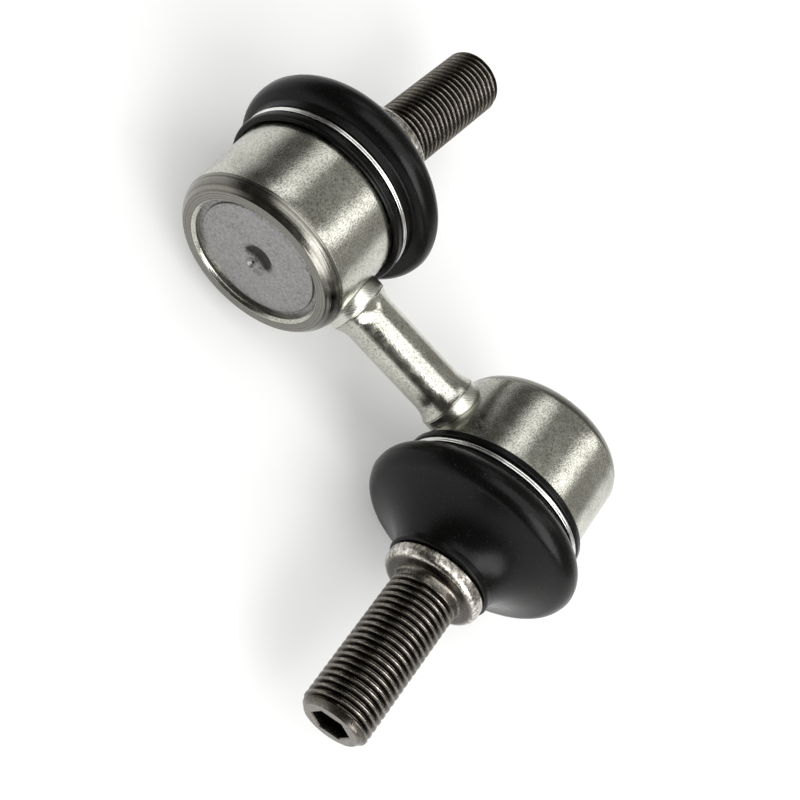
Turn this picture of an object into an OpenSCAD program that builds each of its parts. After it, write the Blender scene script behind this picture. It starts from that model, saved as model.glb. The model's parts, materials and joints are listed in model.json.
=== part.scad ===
// Stabilizer link: a short rod with a ball joint at each end and the studs facing opposite ways.
// The rod runs along X. The upper end is at -X with its stud towards +Y, the lower end at +X
// with its stud towards -Y. Z is up and the origin is the middle of the rod. Millimetres.
// Each end is drawn about its own axis: heights along it run from the rod's axis towards the stud.

/* [Rod] */
// Distance between the two housing axes
centre_distance = 56.8; // [50:0.2:90]
// Diameter of the rod
rod_d = 9.2; // [7:0.1:11]
// Growth in radius at the rod's flared ends
rod_flare = 0.9; // [0.3:0.1:2]
// Length of each flare
rod_flare_length = 3; // [2:0.1:5]
// Thickness of the weld strip between rod and housing
weld_t = 1.6; // [0.8:0.1:3]
// How far the weld strip lies below the end of the flare
weld_step = 0.15; // [0:0.05:0.4]

/* [Ball joint] */
// Rod axis to the ball centre
ball_height = 3; // [2:0.1:5]
// Diameter of the ball
ball_d = 16; // [14:0.1:18]
// Height cut off the bottom of the ball
ball_flat = 0.9; // [0.5:0.1:2]
// Wall of the plastic seat beside the ball
seat_wall = 3.7; // [2:0.1:5]
// Floor of the seat below the ball
seat_floor = 1.5; // [0.8:0.1:3]
// Height of the seat's flared mouth above the ball
seat_mouth = 1.3; // [0.8:0.05:3]
// Largest swing each way in each of the two planes, degrees
swing = 15; // [10:0.5:18]

/* [Housing] */
// Wall of the housing around the seats
housing_wall = 4.05; // [3:0.05:6]
// Height of the housing's mouth above the seats
mouth_height = 4; // [3.4:0.1:6]
// Size of the barrel-shaped rim across the axis
rim_w = 1.6; // [0.8:0.1:2]
// Size of the barrel-shaped rim along the axis
rim_h = 2.6; // [1.5:0.1:4]
// Thickness of the rim rolled over the end cap
crimp_t = 1.4; // [1:0.1:2.4]
// How far the rolled rim laps over the end cap
crimp_lap = 1.3; // [0.6:0.1:1.8]
// Bevel on the inner edge of the rolled rim
crimp_bevel = 0.5; // [0.2:0.1:0.8]

/* [End cap] */
// How far the cap's flange reaches past the seats
cap_lap = 1.5; // [0.8:0.1:1.8]
// Thickness of the flange
cap_t = 1.2; // [0.8:0.1:2]
// Gap between the raised disc and the rolled rim
disc_gap = 0.9; // [0.3:0.1:2]
// How far the disc lies below the closed end face
cap_recess = 1; // [0.4:0.1:1.3]
// Diameter of the dimple in the disc
dimple_d = 6.4; // [4:0.1:9]
// Depth of the dimple
dimple_depth = 1; // [0.3:0.1:1.2]

/* [Ball stud] */
// Diameter of the neck above the ball
neck_d = 9; // [7.5:0.1:9.6]
// Diameter of the plain seat that carries the boot's small end
boot_seat_d = 12.6; // [11:0.1:14]
// How far the collar stands out from the boot's seat
collar_out = 2.6; // [2.2:0.1:4]
// Thickness of the collar
collar_t = 2.5; // [1.5:0.1:4]
// Chamfer on the thread side of the collar
collar_chamfer = 0.7; // [0.2:0.1:1.2]
// Rounding on the boot side of the collar
collar_round = 0.35; // [0.1:0.05:0.6]
// Outside diameter of the thread
thread_d = 12; // [10:0.5:13]
// Depth of the relief below the thread
relief_depth = 0.75; // [0.3:0.05:1.2]
// Width of the relief below the thread
relief_w = 1.2; // [0.8:0.1:2]
// Length of the thread
thread_length = 25.4; // [16:0.2:40]
// Pitch of the thread
thread_pitch = 1.25; // [1:0.25:1.75]
// Chamfer at the tip
tip_chamfer = 1.1; // [0.5:0.1:1.6]
// Hex socket, across flats
socket_af = 6.1; // [4:0.1:7]
// Depth of the hex socket
socket_depth = 5.2; // [3:0.1:8]

/* [Rest angles] */
// Upper stud towards the other end, degrees
upper_in = 5.8; // [-15:0.1:15]
// Upper stud upwards, degrees
upper_up = -2.6; // [-15:0.1:15]
// Lower stud towards the other end, degrees
lower_in = 0; // [-15:0.1:15]
// Lower stud upwards, degrees
lower_up = 0; // [-15:0.1:15]

/* [Boot] */
// Thickness of the lip on the housing
lip_t = 1.05; // [0.7:0.05:2]
// Height of the lip
lip_h = 1.55; // [1.2:0.05:3]
// Height of the lip's root above the edge of the housing's groove
lip_root = 1; // [0.7:0.1:1.4]
// Depth of the housing's groove for the boot
boot_groove_depth = 1.2; // [0.8:0.1:1.6]
// Width of the housing's groove for the boot
boot_groove_w = 3.45; // [2.4:0.05:3.8]
// Width of the retaining bead at the housing's open end
mouth_bead_w = 1.2; // [0.8:0.1:1.6]
// Height of the retaining bead at the housing's open end
mouth_bead_h = 0.4; // [0.2:0.1:0.6]
// How far the boot's bulge stands out from the housing
crest_out = 4; // [3:0.1:6]
// Radius of the bulge
crest_r = 2.9; // [2.5:0.1:3.4]
// Clip's groove to the middle of the bulge
crest_rise = 2.2; // [1.2:0.05:2.6]
// Wall of the boot
boot_wall = 1.5; // [1:0.1:2]
// Slope of the boot's cone next to the bulge, degrees
cone_slope = 18; // [10:1:25]
// Housing's open end to the bead at the boot's small end
boot_rise = 9.9; // [8.6:0.1:13]
// Wall of the bead outside the neck ring
neck_bead_wall = 1.4; // [0.8:0.1:2]
// Thickness of the sealing lips beside the neck ring
neck_lip = 0.4; // [0.3:0.05:0.8]
// Depth of the hollow between the boot's cone and its small-end bead
neck_hollow = 0.5; // [0.2:0.1:0.7]

/* [Clip and neck ring] */
// Wire of the boot clip
wire_d = 0.95; // [0.7:0.05:1.1]
// Turns of wire in the boot clip
wire_turns = 1.9; // [1.2:0.1:2.2]
// Radial thickness of the neck ring
neck_ring_w = 1.3; // [0.8:0.1:2]
// Height of the neck ring
neck_ring_h = 1.3; // [0.8:0.1:2]

/* [Clearances] */
// Gap between fixed pieces of the link
fit_gap = 0.05; // [0.02:0.01:0.1]
// Running clearance of the ball in its seats
seat_gap = 0.1; // [0.05:0.01:0.15]
// Gap around the rubber boot
boot_gap = 0.2; // [0.1:0.05:0.25]
// Gap left beside the neck at full swing
mouth_gap = 0.4; // [0.2:0.05:0.6]

/* [Hidden] */
$fn = 72;
boot_sides = 44;
wire_sides = 8;
wire_step = 10;
arc_steps = 8;
eps = 0.01;

// Radii from the ball outwards
seat_r = ball_d / 2 + seat_gap;
bore_r = ball_d / 2 + seat_wall;
housing_r = bore_r + housing_wall;
cap_r = bore_r + cap_lap;
crimp_r = cap_r - crimp_lap;
disc_r = crimp_r - disc_gap;
groove_r = housing_r - boot_groove_depth;
mouth_bead_r = groove_r + mouth_bead_h;

// Swing in both planes at once opens a wider cone, which the mouth clears
cone = acos(pow(cos(swing), 2));
mouth_slope = tan(cone);
mouth_base = neck_d / 2 / cos(cone) + mouth_gap;
function mouth_r(height) = mouth_base + (height - ball_height) * mouth_slope;

// Height above the ball centre where the spherical seat ends and its mouth begins
slope_part = mouth_slope * mouth_base;
slope_square = 1 + pow(mouth_slope, 2);
seat_root = sqrt(pow(slope_part, 2) - slope_square * (pow(mouth_base, 2) - pow(seat_r, 2)));
seat_end = (seat_root - slope_part) / slope_square;

// Heights towards the stud
shoulder_height = ball_height + seat_end + seat_mouth;
housing_front = shoulder_height + mouth_height;
mouth_bead_start = housing_front - mouth_bead_w;
groove_start = mouth_bead_start - boot_groove_w;
lip_end = groove_start + lip_root;
lip_start = lip_end - lip_h;
bead_start = housing_front + boot_rise;
bead_top = bead_start + neck_ring_h + 2 * boot_gap + 2 * neck_lip;
bead_mid = (bead_start + bead_top) / 2;

// Depths towards the end cap
cap_inside = seat_floor + seat_r - ball_height;
cap_outside = cap_inside + cap_t;
housing_back = cap_outside + crimp_t;
disc_outside = housing_back - cap_recess;

// Stud heights from the ball centre; the taper starts where it clears the mouth at full swing
taper_start = (housing_front - ball_height + neck_d / 2 * sin(cone) + mouth_gap) / cos(cone);
taper_end = bead_start - ball_height - boot_gap;
collar_height = bead_top + boot_gap - ball_height;
collar_top = collar_height + collar_t;
thread_start = collar_top + relief_w;
thread_end = thread_start + thread_length;
stud_length = thread_end + tip_chamfer;
thread_depth = 0.61 * thread_pitch;
thread_turns = floor(thread_length / thread_pitch);

// Boot radii, and the clip that sits in the boot's outer groove
clip_groove_r = housing_r + fit_gap;
wire_pitch = wire_d + fit_gap;
clip_height = wire_pitch * wire_turns + wire_d;
clip_groove_end = lip_end + clip_height + 2 * boot_gap;
crest_centre = [housing_r + crest_out - crest_r, clip_groove_end + crest_rise];
crest_foot = -asin(crest_rise / crest_r);
crest_end = 90 - cone_slope;
ring_r = boot_seat_d / 2 + boot_gap;
pocket_r = ring_r + neck_ring_w + boot_gap;
neck_bead_r = pocket_r + neck_bead_wall;

// Share of the stud's swing that the boot follows at the foot and at the end of its bulge
foot_share = 0.35;
crest_share = 0.7;

rod_half = centre_distance / 2 - housing_r - weld_t;

STEEL = [0.72, 0.72, 0.69];
DARK_STEEL = [0.24, 0.23, 0.22];
BRIGHT_WIRE = [0.80, 0.80, 0.78];
CAP_GREY = [0.55, 0.55, 0.56];
RUBBER = [0.09, 0.09, 0.09];
SEAT_WHITE = [0.90, 0.89, 0.85];

// Shared helpers

// Point at an angle and a distance from a centre
function polar(centre, radius, angle) = centre + radius * [cos(angle), sin(angle)];

// Points of an arc about a centre, from one angle to another
function arc(centre, radius, from, to, steps = arc_steps) =
    [for (i = [0 : steps]) polar(centre, radius, from + (to - from) * i / steps)];

// Point on a curve that leaves p0 towards p1 and reaches p2 from it
function curve(p0, p1, p2, t) = pow(1 - t, 2) * p0 + 2 * t * (1 - t) * p1 + pow(t, 2) * p2;

// A list in the opposite order
function reversed(list) = [for (i = [len(list) - 1 : -1 : 0]) list[i]];

// Eases a share so that it starts and ends gently
function eased(t) = t * t * (3 - 2 * t);

// The points with a share of the stud's swing added, which runs from one value to another
function with_share(points, from, to) =
    let (steps = max(1, len(points) - 1))
    [for (i = [0 : len(points) - 1]) concat(points[i], eased(from + (to - from) * i / steps))];

// Turns a point about the origin by a share of the stud's rest angles; the axis starts along Y
function swung(point, share, in, up) =
    let (b = share * in, a = share * up)
    let (x = point.x * cos(b) + point.y * sin(b), y = point.y * cos(b) - point.x * sin(b))
    [x, y * cos(a) - point.z * sin(a), y * sin(a) + point.z * cos(a)];

function rest_in(upper) = upper ? upper_in : lower_in;
function rest_up(upper) = upper ? upper_up : lower_up;

// Puts an end's children, drawn about Y from the rod's axis, at the upper or the lower end
module at_end(upper) {
    rotate([0, 0, upper ? 0 : 180])
        translate([-centre_distance / 2, 0, 0])
            children();
}

// Turns a shape drawn along Z from the rod's axis so that it lies along Y
module along_axis() {
    rotate([-90, 0, 0])
        children();
}

// Turns a shape drawn along Z from the ball centre to the stud's rest angles
module along_stud(upper) {
    translate([0, ball_height, 0])
        rotate([rest_up(upper), 0, 0])
            rotate([0, 0, -rest_in(upper)])
                rotate([-90, 0, 0])
                    children();
}

// Rod and welds

module rod() {
    flare_bend = (pow(rod_flare_length, 2) + pow(rod_flare, 2)) / (2 * rod_flare);
    flare_turn = asin(rod_flare_length / flare_bend);
    flare_start = rod_half - rod_flare_length;
    flare = arc([rod_d / 2 + flare_bend, flare_start], flare_bend, 180, 180 - flare_turn);
    half = concat([[0, 0], [rod_d / 2, 0]], flare, [[0, rod_half]]);
    color(STEEL)
        rotate([0, 90, 0])
            for (turn = [0, 180])
                rotate([turn, 0, 0])
                    rotate_extrude()
                        polygon(half);
}

module weld(upper) {
    weld_r = rod_d / 2 + rod_flare - weld_step;
    color(STEEL)
        at_end(upper)
            difference() {
                rotate([0, 90, 0])
                    cylinder(r = weld_r, h = housing_r + weld_t - fit_gap);
                rotate([90, 0, 0])
                    cylinder(r = housing_r + fit_gap, h = 4 * weld_r, center = true, $fn = 144);
            }
}

// Housing: a turned cup, grooved for the boot at its mouth and rolled over the end cap

module housing(upper) {
    rim = [for (i = [0 : arc_steps])
        curve([housing_r, rim_h - housing_back],
              [housing_r - rim_w / 4, 0.4 * rim_h - housing_back],
              [housing_r - rim_w, -housing_back],
              i / arc_steps)];
    mouth = [
        [mouth_r(housing_front), housing_front],
        [mouth_bead_r, housing_front],
        [mouth_bead_r, mouth_bead_start],
        [groove_r, mouth_bead_start],
        [groove_r, groove_start],
        [housing_r, groove_start]
    ];
    closed_end = [
        [crimp_r + crimp_bevel, -housing_back],
        [crimp_r, crimp_bevel - housing_back],
        [crimp_r, -cap_outside],
        [cap_r + fit_gap, -cap_outside],
        [cap_r + fit_gap, -cap_inside],
        [bore_r, -cap_inside]
    ];
    shoulder = [[bore_r, shoulder_height], [mouth_r(shoulder_height), shoulder_height]];
    color(STEEL)
        at_end(upper)
            along_axis()
                rotate_extrude($fn = 144)
                    polygon(concat(mouth, rim, closed_end, shoulder));
}

module end_cap(upper) {
    dimple_bend = (pow(dimple_d / 2, 2) + pow(dimple_depth, 2)) / (2 * dimple_depth);
    color(CAP_GREY)
        at_end(upper)
            along_axis()
                difference() {
                    union() {
                        translate([0, 0, fit_gap - cap_outside])
                            cylinder(r = cap_r, h = cap_t - 2 * fit_gap);
                        translate([0, 0, -disc_outside])
                            cylinder(r = disc_r, h = disc_outside - cap_inside - fit_gap);
                    }
                    translate([0, 0, dimple_depth - disc_outside - dimple_bend])
                        sphere(r = dimple_bend);
                }
}

// Ball seats, two plastic halves that meet at the ball's middle

module seat_ring(upper) {
    seat_top = shoulder_height - fit_gap;
    from = asin(fit_gap / seat_r);
    to = asin(seat_end / seat_r);
    color(SEAT_WHITE)
        at_end(upper)
            along_axis()
                rotate_extrude()
                    polygon(concat(
                        arc([0, ball_height], seat_r, from, to, 2 * arc_steps),
                        [[mouth_r(seat_top), seat_top], [bore_r - fit_gap, seat_top]],
                        [[bore_r - fit_gap, ball_height + fit_gap]]
                    ));
}

module seat_cup(upper) {
    to = -asin(fit_gap / seat_r);
    color(SEAT_WHITE)
        at_end(upper)
            along_axis()
                rotate_extrude()
                    polygon(concat(
                        arc([0, ball_height], seat_r, -90, to, 3 * arc_steps),
                        [[bore_r - fit_gap, ball_height - fit_gap]],
                        [[bore_r - fit_gap, fit_gap - cap_inside], [0, fit_gap - cap_inside]]
                    ));
}

// Ball stud, drawn along Z from the ball centre

// Rings that stand in for the thread's turns: a crest and a root in each pitch
function thread_rings() =
    let (form = [[0, 0], [0.25, 0], [0.5, 1], [0.75, 1]])
    [for (i = [0 : thread_turns - 1], p = form)
        [thread_d / 2 - p[1] * thread_depth, thread_start + (i + p[0]) * thread_pitch]];

module stud_shank() {
    collar_r = boot_seat_d / 2 + collar_out;
    relief_r = thread_d / 2 - relief_depth;
    relief_round = relief_w / 3;
    rotate_extrude()
        polygon(concat([
            [0, 0],
            [neck_d / 2, 0],
            [neck_d / 2, taper_start],
            [boot_seat_d / 2, taper_end],
            [boot_seat_d / 2, collar_height],
            [collar_r - collar_round, collar_height],
            [collar_r, collar_height + collar_round],
            [collar_r, collar_top - collar_chamfer],
            [collar_r - collar_chamfer, collar_top],
            [thread_d / 2 + fit_gap, collar_top],
            [relief_r, collar_top + relief_round],
            [relief_r, thread_start - relief_round]
        ], thread_rings(), [
            [thread_d / 2, thread_start + thread_turns * thread_pitch],
            [thread_d / 2, thread_end + eps],
            [thread_d / 2 - tip_chamfer, stud_length],
            [0, stud_length]
        ]));
}

module hex_socket() {
    drill_angle = 31;
    drill_point = socket_af / 2 * tan(drill_angle);
    translate([0, 0, stud_length - socket_depth])
        cylinder(d = socket_af / cos(30), h = socket_depth + eps, $fn = 6);
    translate([0, 0, stud_length - socket_depth - drill_point])
        cylinder(d1 = 0, d2 = socket_af, h = drill_point);
}

module ball_stud(upper) {
    color(DARK_STEEL)
        at_end(upper)
            along_stud(upper)
                difference() {
                    union() {
                        sphere(d = ball_d);
                        stud_shank();
                    }
                    translate([0, 0, -ball_d])
                        cylinder(d = ball_d, h = ball_d / 2 + ball_flat);
                    hex_socket();
                }
}

// Boot: a closed wall swept round the axis, each point turned by its share of the stud's swing

// The bulge, inset from the outer face
function boot_bulge(inset) = arc(crest_centre, crest_r - inset, crest_foot, crest_end);

// The cone from the bulge to the bead at the small end, inset from the outer face
function boot_cone(inset) =
    let (
        top = polar(crest_centre, crest_r - inset, crest_end),
        bottom = [neck_bead_r - neck_hollow - inset, bead_start - inset / 2],
        bend_x = bottom.x + (top.x - bottom.x) / 5,
        bend = [bend_x, top.y + (top.x - bend_x) * tan(cone_slope)]
    )
    [for (i = [1 : arc_steps]) curve(top, bend, bottom, i / arc_steps)];

function boot_section() =
    let (
        seat_in = housing_r + boot_gap,
        rib_r = groove_r + boot_gap,
        bead_in = mouth_bead_r + boot_gap,
        rib_end = mouth_bead_start - boot_gap,
        rib_start = groove_start + boot_gap,
        pocket_top = bead_mid + neck_ring_h / 2 + boot_gap,
        pocket_floor = bead_mid - neck_ring_h / 2 - boot_gap,
        lip_round = lip_t / 2,
        lip_r = seat_in + lip_t,
        lip = concat(
            [[seat_in, rib_start], [seat_in, lip_start]],
            arc([lip_r - lip_round, lip_start + lip_round], lip_round, -90, 0, 3),
            [[lip_r, lip_end - lip_round], [clip_groove_r, lip_end]],
            [[clip_groove_r, clip_groove_end], [lip_r, clip_groove_end]]
        ),
        bead = [
            [neck_bead_r, bead_start + neck_hollow],
            [neck_bead_r, bead_top - neck_hollow],
            [neck_bead_r - neck_hollow, bead_top],
            [ring_r, bead_top],
            [ring_r, pocket_top],
            [pocket_r, pocket_top],
            [pocket_r, pocket_floor],
            [ring_r, pocket_floor],
            [ring_r, bead_start]
        ],
        bead_end = max(housing_front, clip_groove_end) + boot_wall / 2,
        rib = [[bead_in, bead_end], [bead_in, rib_end], [rib_r, rib_end], [rib_r, rib_start]]
    )
    concat(
        with_share(lip, 0, 0),
        with_share(boot_bulge(0), foot_share, crest_share),
        with_share(boot_cone(0), crest_share, 1),
        with_share(bead, 1, 1),
        with_share(reversed(boot_cone(boot_wall)), 1, crest_share),
        with_share(reversed(boot_bulge(boot_wall)), crest_share, foot_share),
        with_share(rib, 0, 0)
    );

module boot(upper) {
    section = boot_section();
    count = len(section);
    centre = [0, ball_height, 0];
    points = [
        for (k = [0 : boot_sides - 1], p = section)
            let (turn = 360 * k / boot_sides, plain = [p.x * cos(turn), p.y, p.x * sin(turn)])
            swung(plain - centre, p.z, rest_in(upper), rest_up(upper)) + centre
    ];
    faces = [
        for (k = [0 : boot_sides - 1], i = [0 : count - 1], half = [0, 1])
            let (k2 = (k + 1) % boot_sides, i2 = (i + 1) % count)
            half == 0
                ? [k * count + i, k * count + i2, k2 * count + i2]
                : [k * count + i, k2 * count + i2, k2 * count + i]
    ];
    color(RUBBER)
        at_end(upper)
            polyhedron(points, faces);
}

// Boot clip: wire wound round the boot's groove, with its ends cut square

module clip(upper) {
    coil_r = clip_groove_r + boot_gap + wire_d / 2;
    coil_start = lip_end + boot_gap + wire_d / 2;
    rings = floor(360 * wire_turns / wire_step);
    function wire_point(turn, side) =
        let (
            r = coil_r + wire_d / 2 * cos(side),
            height = coil_start + wire_pitch * turn / 360 + wire_d / 2 * sin(side)
        )
        [r * cos(turn), height, r * sin(turn)];
    points = [
        for (i = [0 : rings], j = [0 : wire_sides - 1])
            wire_point(i * wire_step, 360 * j / wire_sides)
    ];
    sides = [
        for (i = [0 : rings - 1], j = [0 : wire_sides - 1])
            let (j2 = (j + 1) % wire_sides, here = i * wire_sides, next = here + wire_sides)
            [here + j, here + j2, next + j2, next + j]
    ];
    first = [for (j = [wire_sides - 1 : -1 : 0]) j];
    last = [for (j = [0 : wire_sides - 1]) rings * wire_sides + j];
    color(BRIGHT_WIRE)
        at_end(upper)
            polyhedron(points, concat([first], sides, [last]));
}

// Neck ring: stiffens the boot's small end and runs on the stud's plain seat

module neck_ring(upper) {
    color(STEEL)
        at_end(upper)
            along_stud(upper)
                translate([0, 0, bead_mid - ball_height])
                    rotate_extrude()
                        translate([ring_r, -neck_ring_h / 2])
                            square([neck_ring_w, neck_ring_h]);
}

rod();
weld(true);  // upper_weld
weld(false);  // lower_weld
housing(true);  // upper_housing
housing(false);  // lower_housing
end_cap(true);  // upper_end_cap
end_cap(false);  // lower_end_cap
seat_ring(true);  // upper_seat_ring
seat_ring(false);  // lower_seat_ring
seat_cup(true);  // upper_seat_cup
seat_cup(false);  // lower_seat_cup
ball_stud(true);  // upper_ball_stud
ball_stud(false);  // lower_ball_stud
boot(true);  // upper_boot
boot(false);  // lower_boot
clip(true);  // upper_clip
clip(false);  // lower_clip
neck_ring(true);  // upper_neck_ring
neck_ring(false);  // lower_neck_ring
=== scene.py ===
"""Looks of a stabilizer link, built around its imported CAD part.

Profiles are in millimetres, as in the CAD source: a radius from an end's axis and a height along it.
Heights run from the rod's axis on a housing and its boot, and from the ball centre on a stud.
A corner of a profile has a third number, the radius that rounds it.
"""
import json
import math

import bmesh
import bpy
from mathutils import Euler, Matrix, Quaternion, Vector


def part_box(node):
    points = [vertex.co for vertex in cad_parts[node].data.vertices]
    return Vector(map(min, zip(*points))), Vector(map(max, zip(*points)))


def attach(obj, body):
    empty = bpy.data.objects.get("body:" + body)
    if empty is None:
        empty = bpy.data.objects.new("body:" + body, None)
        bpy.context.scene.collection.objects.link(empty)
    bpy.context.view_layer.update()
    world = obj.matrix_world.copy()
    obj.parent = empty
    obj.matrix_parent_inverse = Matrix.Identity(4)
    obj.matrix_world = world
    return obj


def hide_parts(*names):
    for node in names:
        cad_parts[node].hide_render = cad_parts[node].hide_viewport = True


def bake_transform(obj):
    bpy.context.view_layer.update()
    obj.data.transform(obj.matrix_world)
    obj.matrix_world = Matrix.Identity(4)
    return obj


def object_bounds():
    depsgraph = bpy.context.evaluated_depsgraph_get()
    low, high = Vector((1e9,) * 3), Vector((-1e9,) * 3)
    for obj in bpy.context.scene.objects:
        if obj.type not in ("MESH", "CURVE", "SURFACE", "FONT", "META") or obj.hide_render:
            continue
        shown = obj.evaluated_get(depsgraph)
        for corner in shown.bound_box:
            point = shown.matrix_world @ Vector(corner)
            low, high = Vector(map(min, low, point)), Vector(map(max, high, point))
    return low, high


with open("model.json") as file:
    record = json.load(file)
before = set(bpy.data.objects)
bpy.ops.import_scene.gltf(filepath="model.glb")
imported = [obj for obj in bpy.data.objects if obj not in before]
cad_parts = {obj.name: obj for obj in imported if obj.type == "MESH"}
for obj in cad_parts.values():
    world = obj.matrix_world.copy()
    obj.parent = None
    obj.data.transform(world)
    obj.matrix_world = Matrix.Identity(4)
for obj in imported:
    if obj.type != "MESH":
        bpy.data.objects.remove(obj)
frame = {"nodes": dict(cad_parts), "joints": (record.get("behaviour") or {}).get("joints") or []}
cad_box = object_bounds()
nodes = frame["nodes"]
joints = {joint["name"]: joint for joint in frame["joints"]}

MM = 0.001


def reach(node, axis):
    """Half of a node's size along an axis, in millimetres."""
    low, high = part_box(node)
    return (high[axis] - low[axis]) / 2 / MM


# Sizes that the frame gives. The lower end isn't tilted, so its boxes are taken; its stud faces -Y.
HOUSING_R = reach("lower_housing", 0)
HOUSING_FRONT = -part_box("lower_housing")[0].y / MM
HOUSING_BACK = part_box("lower_housing")[1].y / MM
CREST_R = reach("lower_boot", 0)
BOOT_TOP = -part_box("lower_boot")[0].y / MM
LIP_START = -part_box("lower_boot")[1].y / MM
COLLAR_R = reach("lower_ball_stud", 0)
BALL_HEIGHT = -Vector(joints["lower_stud_spin"]["pos_m"]).y / MM
STUD_LENGTH = -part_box("lower_ball_stud")[0].y / MM - BALL_HEIGHT
DISC_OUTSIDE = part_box("lower_end_cap")[1].y / MM
CAP_R = reach("lower_end_cap", 0)
CLIP_START = -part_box("lower_clip")[1].y / MM
CLIP_END = -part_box("lower_clip")[0].y / MM
CLIP_R = reach("lower_clip", 0)
ROD_HALF = reach("rod", 0)
FLARE_R = reach("rod", 1)

# Clearances and roundings that several pieces share
FIT_GAP = 0.05
BOOT_GAP = 0.2
FINE_EDGE, SMALL_EDGE, SOFT_EDGE, ROUND_EDGE = 0.1, 0.15, 0.2, 0.3

# Points round a piece, and the angle in degrees above which an edge is crisp
SIDES = 160
HOUSING_SIDES = 192
CAP_SIDES = 128
WELD_SIDES = 128
ROD_SIDES = 96
THREAD_SIDES = 96
WIRE_SIDES = 14
CRISP, STUD_CRISP, HOUSING_CRISP, BOOT_CRISP, WIRE_CRISP = 30, 32, 40, 50, 60
MERGE_DISTANCE = 1e-6
POLE = 1e-6

# Housing: a bead and a groove for the boot at its mouth, a rolled rim over the cap at its back
BORE_R = 11.7
MOUTH_R = 8.9
MOUTH_LIP = 1.5
SHOULDER_HEIGHT = HOUSING_FRONT - 4.0
GROOVE_DEPTH = 1.2
GROOVE_R = HOUSING_R - GROOVE_DEPTH
MOUTH_BEAD_W, MOUTH_BEAD_H = 1.2, 0.4
MOUTH_BEAD_R = GROOVE_R + MOUTH_BEAD_H
MOUTH_BEAD_START = HOUSING_FRONT - MOUTH_BEAD_W
SIDE_STEPS = 8
RIM_W, RIM_H = 1.6, 2.6
RIM_TOP = RIM_H - HOUSING_BACK
RIM_STEP, RIM_DROP = 0.05, 0.03
RIM_EDGE, RIM_LIP = 0.06, 0.04
RIM_BELLY = 0.4
RIM_STEPS = 12
CRIMP_R = 11.9
CRIMP_BEVEL = 0.5

# End cap: a disc with a dimple, and a punch mark in the dimple
CAP_INSIDE, CAP_OUTSIDE = 6.6, 7.8
DISC_R, DISC_EDGE_W = 11.0, 0.5
DIMPLE_R, DIMPLE_DEPTH, DIMPLE_STEPS = 3.2, 1.0, 36
BRINK_W, BRINK_DEPTH = 0.2, 0.05
FLAT_STEPS = 6
PUNCH_X, PUNCH_Y = 0.0, 2.4
PUNCH_PIT, PUNCH_PIT_R = 0.3, 0.3
PUNCH_RIDGE, PUNCH_RIDGE_W, PUNCH_R = 0.14, 0.16, 0.75

# Rod and weld
ROD_R, ROD_EDGE, ROD_STEPS = 4.6, 0.12, 6
FLARE_LENGTH, FLARE_STEPS = 3.0, 14
WELD_R = FLARE_R - 0.06
WELD_EDGE = 0.05
WELD_CORE = 0.3
WELD_ROWS = (0.05, 0.35, 0.65, 0.95)

# Stud
BALL_R, BALL_FLAT, BALL_STEPS = 8.0, 0.9, 20
NECK_R = 4.5
TAPER_START, TAPER_ROUND = 12.0, 1.0
BOOT_SEAT_R = 6.3
COLLAR_T = 2.5
COLLAR_BACK_EDGE, COLLAR_EDGE, COLLAR_ROOT = 0.35, 1.1, 0.8
THREAD_R, THREAD_PITCH, THREAD_DEPTH = 6.0, 1.25, 0.76
THREAD_ROOT = THREAD_R - THREAD_DEPTH
PLAIN_R, PLAIN_BAND = THREAD_R - 0.06, 1.5
RUN_OUT = 0.9
TIP_CHAMFER, TIP_LAND = 1.1, 0.12
SOCKET_AF, SOCKET_DEPTH = 6.1, 5.2
SOCKET_RIM, SOCKET_BEVEL, SOCKET_BEVEL_H = 0.3, 0.15, 0.2
DRILL_POINT = 0.6

# One turn of the rolled thread: shares of the pitch and the radii there. The crest is dished.
THREAD_FORM = (
    (0.0, THREAD_ROOT), (0.1, THREAD_ROOT + 0.04), (0.335, THREAD_R - 0.08), (0.39, THREAD_R - 0.01),
    (0.5, THREAD_R - 0.07), (0.61, THREAD_R - 0.01), (0.665, THREAD_R - 0.08), (0.9, THREAD_ROOT + 0.04))

# Clip: wire wound round the boot
WIRE_R, WIRE_TURNS = 0.22, 1.9
WIRE_STEPS, WIRE_END_STEPS = 240, 3
WIRE_END = 0.25
WIRE_RISE = WIRE_TURNS * (2 * WIRE_R + FIT_GAP / 2)
CLIP_DROP = 0.15
CLIP_TURN = 130
CLIP_GROOVE_R = CLIP_R - 2 * WIRE_R - FIT_GAP
CLIP_GROOVE_END = CLIP_END + BOOT_GAP

# Boot: a lip and a groove for the clip, a shoulder, a bulge, a cone and a bead round the stud's neck
BOOT_WALL = 1.5
LIP_T, LIP_FALL, LIP_ROOT = 1.05, 0.2, 1.0
LIP_EDGE, LIP_TOP_EDGE = 0.45, 0.35
LIP_END = CLIP_START - BOOT_GAP
GROOVE_START = LIP_END - LIP_ROOT
SHOULDER_R = CLIP_R - WIRE_R / 2
SHOULDER_START = CLIP_START - CLIP_DROP + WIRE_RISE + 2 * WIRE_R + FIT_GAP
SHOULDER_W, SHOULDER_H, SHOULDER_ROUND = 0.2, 0.3, 0.4
BULGE_R, BULGE_RISE = 2.9, 2.2
BULGE_CENTRE = Vector((CREST_R - BULGE_R, CLIP_GROOVE_END + BULGE_RISE))
CONE_SLOPE = math.radians(18)
BULGE_FOOT = -math.degrees(math.asin(BULGE_RISE / BULGE_R))
BULGE_END = 90 - math.degrees(CONE_SLOPE)
CONE_BEND = 0.2
BOOT_STEPS, SEAM_STEP = 22, 0.2
MOULD_LINE, MOULD_LINE_W, MOULD_LINE_H = 9.0, 0.02, 0.05
BEAD_R, BEAD_H, BEAD_ROUND = 9.4, 2.5, 0.4
BEAD_HOLLOW = 0.12
BEAD_START = BOOT_TOP - BEAD_H
NECK_LINE = BOOT_TOP - 1.5
RING_R = 6.5
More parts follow.
